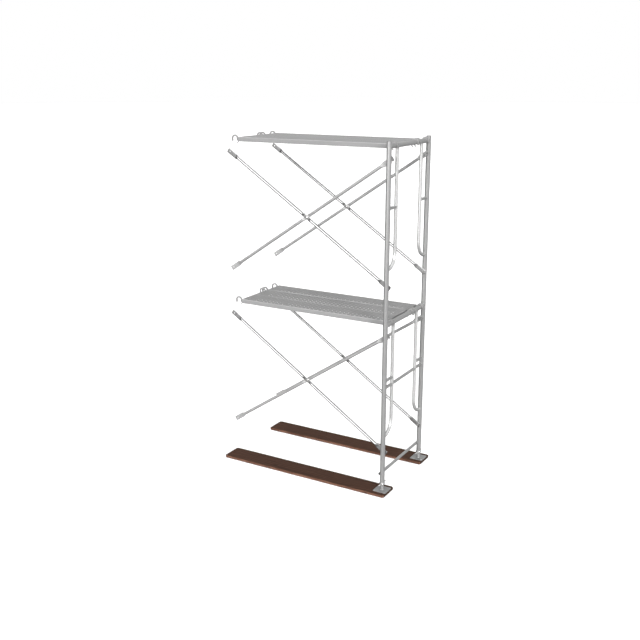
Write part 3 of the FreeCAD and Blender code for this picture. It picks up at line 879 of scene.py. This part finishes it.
def panel(level, kind):
    """The plank's folded steel strips with their raised drain holes."""
    node = f"{level}_deck_{kind}"
    low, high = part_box(node)
    count = STRIPS[kind]
    width = (high.y - low.y - STRIP_GAP * (count - 1)) / count
    bm = bmesh.new()
    for index in range(count):
        y0 = low.y + index * (width + STRIP_GAP)
        strip(bm, low.x, high.x, y0, y0 + width, high.z, (index == 0, index == count - 1))
    bmesh.ops.recalc_face_normals(bm, faces=bm.faces)
    if sum(f.normal.z * f.calc_area() for f in bm.faces) < 0:
        bmesh.ops.reverse_faces(bm, faces=bm.faces)
    mesh = bpy.data.meshes.new(node)
    bm.to_mesh(mesh)
    bm.free()
    mesh.materials.append(DECK_STEEL)
    obj = bpy.data.objects.new(f"{level}_panel_{kind}", mesh)
    bpy.context.scene.collection.objects.link(obj)
    thicken = obj.modifiers.new("sheet", "SOLIDIFY")
    thicken.thickness, thicken.offset = SHEET, -1.0
    apply_modifiers(obj)
    obj.data.shade_smooth()
    obj.data.set_sharp_from_angle(angle=math.radians(20))
    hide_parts(node)
    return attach(obj, f"{level}_plank_{kind}")


LATCH_PIVOT = (0.043, -0.021)  # from the ledger axis: towards the plank, and up
BEAM_FACE = 0.052
CLAW_INSET = 0.020
CLAW_HALF = 0.006
CLAW_WELD_FOOT = 0.0135  # below the ledger axis
CLAW_WELD_LENGTH = 0.0215
CLAW_WELD_STEPS = 18
SPRING_GAP = 0.0076  # from the claw's face to the spring
COIL_TURNS = 6
COIL_STEPS = 16
COIL_R = 0.0058
COIL_LEAD = 0.0021
COIL_WIRE_R = 0.0009
RIVETS_PER_STRIP = 4
RIVET_INBOARD = 0.008  # behind the end beam's face
RIVET_R = 0.0048
RIVET_RISE = 0.0022
RIVET_SUNK = 0.0004
RIVET_RINGS = 5
RIVET_SIDES = 14


def plank_ends(level, kind):
    """Ledger axis, direction towards the plank, and the two claws' Y, at each end of a plank."""
    low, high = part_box(f"{level}_deck_{kind}")
    claws = (low.y + CLAW_INSET, high.y - CLAW_INSET)
    for sign in (1, -1):
        yield Vector((sign * FRAME_X, 0, LEDGERS[level].z)), -sign, claws


def claw_weld(bm, face_x, y, ledger_z):
    """An upright bead along one side of a claw, where it meets the end beam."""
    foot = Vector((face_x, y, ledger_z - CLAW_WELD_FOOT))
    steps = CLAW_WELD_STEPS + 1
    path = [foot + Z * (CLAW_WELD_LENGTH * k / CLAW_WELD_STEPS) for k in range(steps)]
    wire(bm, path, rippled(TUBE_BEAD, steps), lambda point: Y)


def plank_fittings(level, kind):
    """Claw welds, rivets through the sheet into the end beams, and the latches' springs."""
    welds, rivets, springs = bmesh.new(), bmesh.new(), bmesh.new()
    low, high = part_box(f"{level}_deck_{kind}")
    for ledger, inwards, claws in plank_ends(level, kind):
        face_x = ledger.x + inwards * BEAM_FACE
        pivot = Vector((ledger.x + inwards * LATCH_PIVOT[0], 0, ledger.z + LATCH_PIVOT[1]))
        for claw_y, facing in zip(claws, (1, -1)):
            claw_weld(welds, face_x, claw_y - CLAW_HALF, ledger.z)
            claw_weld(welds, face_x, claw_y + CLAW_HALF, ledger.z)
            coil(springs, pivot + Y * (claw_y + facing * (CLAW_HALF + SPRING_GAP)), facing, inwards)
        spots = RIVETS_PER_STRIP * STRIPS[kind]
        for k in range(spots):
            y = low.y + (high.y - low.y) * (k + 0.5) / spots
            dome(rivets, Vector((face_x + inwards * RIVET_INBOARD, y, high.z)))
    body = f"{level}_plank_{kind}"
    made = (
        (f"{level}_claw_welds_{kind}", welds, WELD_STEEL, "galvanised_hook"),
        (f"{level}_end_rivets_{kind}", rivets, PLATED, "zinc_fastener"),
        (f"{level}_latch_springs_{kind}", springs, SPRING, "zinc_fastener"),
    )
    for name, bm, material, slot in made:
        obj = add_object(name, bm, material, sharp=60)
        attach(obj, body)


def coil(bm, start, side, inwards):
    """A torsion spring round the latch's rod, with a leg that bears on the end beam."""
    path = []
    for i in range(COIL_TURNS * COIL_STEPS + 1):
        turn = 2 * math.pi * i / COIL_STEPS
        out = Z * math.cos(turn) + X * inwards * math.sin(turn)
        path.append(start + Y * side * COIL_LEAD * i / COIL_STEPS + COIL_R * out)
    path.append(path[-1] + X * inwards * 0.006)
    path.append(path[-1] + X * inwards * 0.010 + Z * 0.0015)

    def outwards(point):
        offset = point - start
        offset.y = 0
        return offset

    wire(bm, path, [COIL_WIRE_R] * len(path), outwards)


def dome(bm, foot):
    """A low round rivet head with a small flat top, its rim sunk a little into the sheet."""
    rings = []
    for k in range(RIVET_RINGS):
        turn = math.radians(90 * k / (RIVET_RINGS - 0.4))
        rise = RIVET_RISE * math.sin(turn) - (0.0 if k else RIVET_SUNK)
        rings.append(circle(bm, foot + Z * rise, X, Y, RIVET_R * math.cos(turn), RIVET_SIDES))
    skin(bm, rings)


# CAD nodes that keep their shape


def dress(nodes, material, bevel=0.0):
    """Gives CAD nodes their material and, where they are cut from plate, softened edges."""
    for name in nodes:
        obj = frame["nodes"][name]
        for holder in obj.material_slots:
            holder.link = "OBJECT"
            holder.material = material
        if bevel:
            soften = obj.modifiers.new("soft_edges", "BEVEL")
            soften.width, soften.segments, soften.limit_method = bevel, 2, "ANGLE"
            soften.angle_limit = math.radians(40)


def each(pattern):
    """Names of nodes for every level, side, kind and end that the pattern has."""
    names = {
        pattern.format(level=lv, side=sd, kind=kd, end=en, height=ht)
        for lv in LEVELS
        for sd in SIDES
        for kd in KINDS
        for en in ("near", "far")
        for ht in ("low", "high")
    }
    return sorted(names)


dress(each("{level}_post_{side}"), POST_STEEL)
dress(each("{level}_stiffener_{side}"), RAIL_STEEL)
dress(each("{level}_ledger"), CROSS_STEEL)
dress(["stiffener_rungs", "end_guard_rail", "sill_tube"], CROSS_STEEL)
dress(["coupling_pins", "brace_pins"], POST_STEEL)
dress(["brace_rivets"], BRIGHT, 0.0003)
dress(["base_nails"], BRIGHT)
dress(each("base_plate_{side}"), PLATE_STEEL, 0.0006)
dress(each("{level}_lock_{side}_{height}"), PLATED, 0.0005)
dress(each("{level}_hook_beams_{kind}"), HOOK_STEEL, 0.0007)
dress(each("{level}_latch_{kind}_{end}"), PLATED, 0.0005)

for side in SIDES:
    board(side)
    spindle(side)
    cast_nut(side)
plate_welds()
frame_welds()
for level in LEVELS:
    for side in SIDES:
        brace_bar(level, side, True)
        brace_bar(level, side, False)
    for kind in KINDS:
        panel(level, kind)
        plank_fittings(level, kind)


# Stage, light and camera

FLOOR_REACH = 400.0
BACKDROP_R = 120.0
SKY_FRONT = 0.56
SKY_PATCHES = (  # middle of the patch, cosine at its rim and where it is full, level
    ((-0.5, 0.86, 0.0), 0.78, 0.92, 1.02),  # white wall behind
    ((-1.0, -0.1, 0.0), 0.72, 0.92, 0.10),  # dark side on the left
    ((0.0, 0.0, 1.0), 0.25, 0.60, 0.50),  # grey ceiling
    ((0.0, 0.0, -1.0), 0.40, 0.58, 0.10),  # dark ground
    ((-0.10, -0.93, 0.35), 0.83, 0.92, 4.2),  # soft box in front
)
CAMERA_PLACE = (4.49798, -7.88534, 4.16421)
CAMERA_LENS = 49.319
CAMERA_DOWN = 0.275
CAMERA_TURN = 0.527


def add_floor():
    bm = bmesh.new()
    corners = ((-1, -1), (1, -1), (1, 1), (-1, 1))
    bm.faces.new([bm.verts.new((x * FLOOR_REACH, y * FLOOR_REACH, 0)) for x, y in corners])
    obj = add_object("floor", bm, pale_floor("pale_floor"))
    obj.visible_glossy = False
    obj.visible_diffuse = False


def add_sky():
    """A studio surround: each patch in turn is laid, soft-edged, over the level of the front."""
    world = bpy.data.worlds.new("studio")
    bpy.context.scene.world = world
    world.use_nodes = True
    tree = world.node_tree
    direction = tree.nodes.new("ShaderNodeTexCoord").outputs["Generated"]
    level = SKY_FRONT
    for towards, rim, full, patch_level in SKY_PATCHES:
        dot = tree.nodes.new("ShaderNodeVectorMath")
        dot.operation = "DOT_PRODUCT"
        feed(tree, dot.inputs[0], direction)
        feed(tree, dot.inputs[1], Vector(towards).normalized())
        cover = tree.nodes.new("ShaderNodeMapRange")
        cover.interpolation_type = "SMOOTHSTEP"
        feed(tree, cover.inputs["Value"], dot.outputs["Value"])
        feed(tree, cover.inputs["From Min"], rim)
        feed(tree, cover.inputs["From Max"], full)
        laid = tree.nodes.new("ShaderNodeMapRange")
        feed(tree, laid.inputs["Value"], cover.outputs["Result"])
        feed(tree, laid.inputs["To Min"], level)
        feed(tree, laid.inputs["To Max"], patch_level)
        level = laid.outputs["Result"]
    tree.links.new(level, tree.nodes["Background"].inputs["Color"])


def add_backdrop():
    """A white dome that only the camera sees: it gives no light and casts no shadow."""
    bm = bmesh.new()
    bmesh.ops.create_uvsphere(bm, u_segments=64, v_segments=32, radius=BACKDROP_R)
    material = bpy.data.materials.new("white_backdrop")
    material.use_nodes = True
    shader = material.node_tree.nodes["Principled BSDF"]
    shader.inputs["Base Color"].default_value = (0, 0, 0, 1)
    shader.inputs["Specular IOR Level"].default_value = 0.0
    shader.inputs["Emission Color"].default_value = (1, 1, 1, 1)
    shader.inputs["Emission Strength"].default_value = 1.0
    obj = add_object("backdrop", bm, material)
    obj.visible_diffuse = False
    obj.visible_glossy = False
    obj.visible_shadow = False


def add_sun(name, towards, strength, spread):
    data = bpy.data.lights.new(name, "SUN")
    data.energy = strength
    data.angle = math.radians(spread)
    obj = bpy.data.objects.new(name, data)
    obj.rotation_mode = "QUATERNION"
    obj.rotation_quaternion = Vector(towards).to_track_quat("Z", "Y")
    bpy.context.scene.collection.objects.link(obj)


def add_camera():
    data = bpy.data.cameras.new("camera")
    data.lens = CAMERA_LENS
    data.sensor_width = 36.0
    data.clip_end = 1000.0
    obj = bpy.data.objects.new("camera", data)
    obj.location = CAMERA_PLACE
    obj.rotation_euler = (math.pi / 2 - CAMERA_DOWN, 0.0, CAMERA_TURN)
    bpy.context.scene.collection.objects.link(obj)
    bpy.context.scene.camera = obj


add_floor()
add_backdrop()
add_sky()
add_sun("key", (0.80, -0.55, 0.34), 2.7, 16.0)
add_sun("top", (0.15, 0.2, 1.0), 0.7, 60.0)
add_camera()
bpy.context.scene.view_settings.view_transform = "Standard"

bpy.context.view_layer.update()
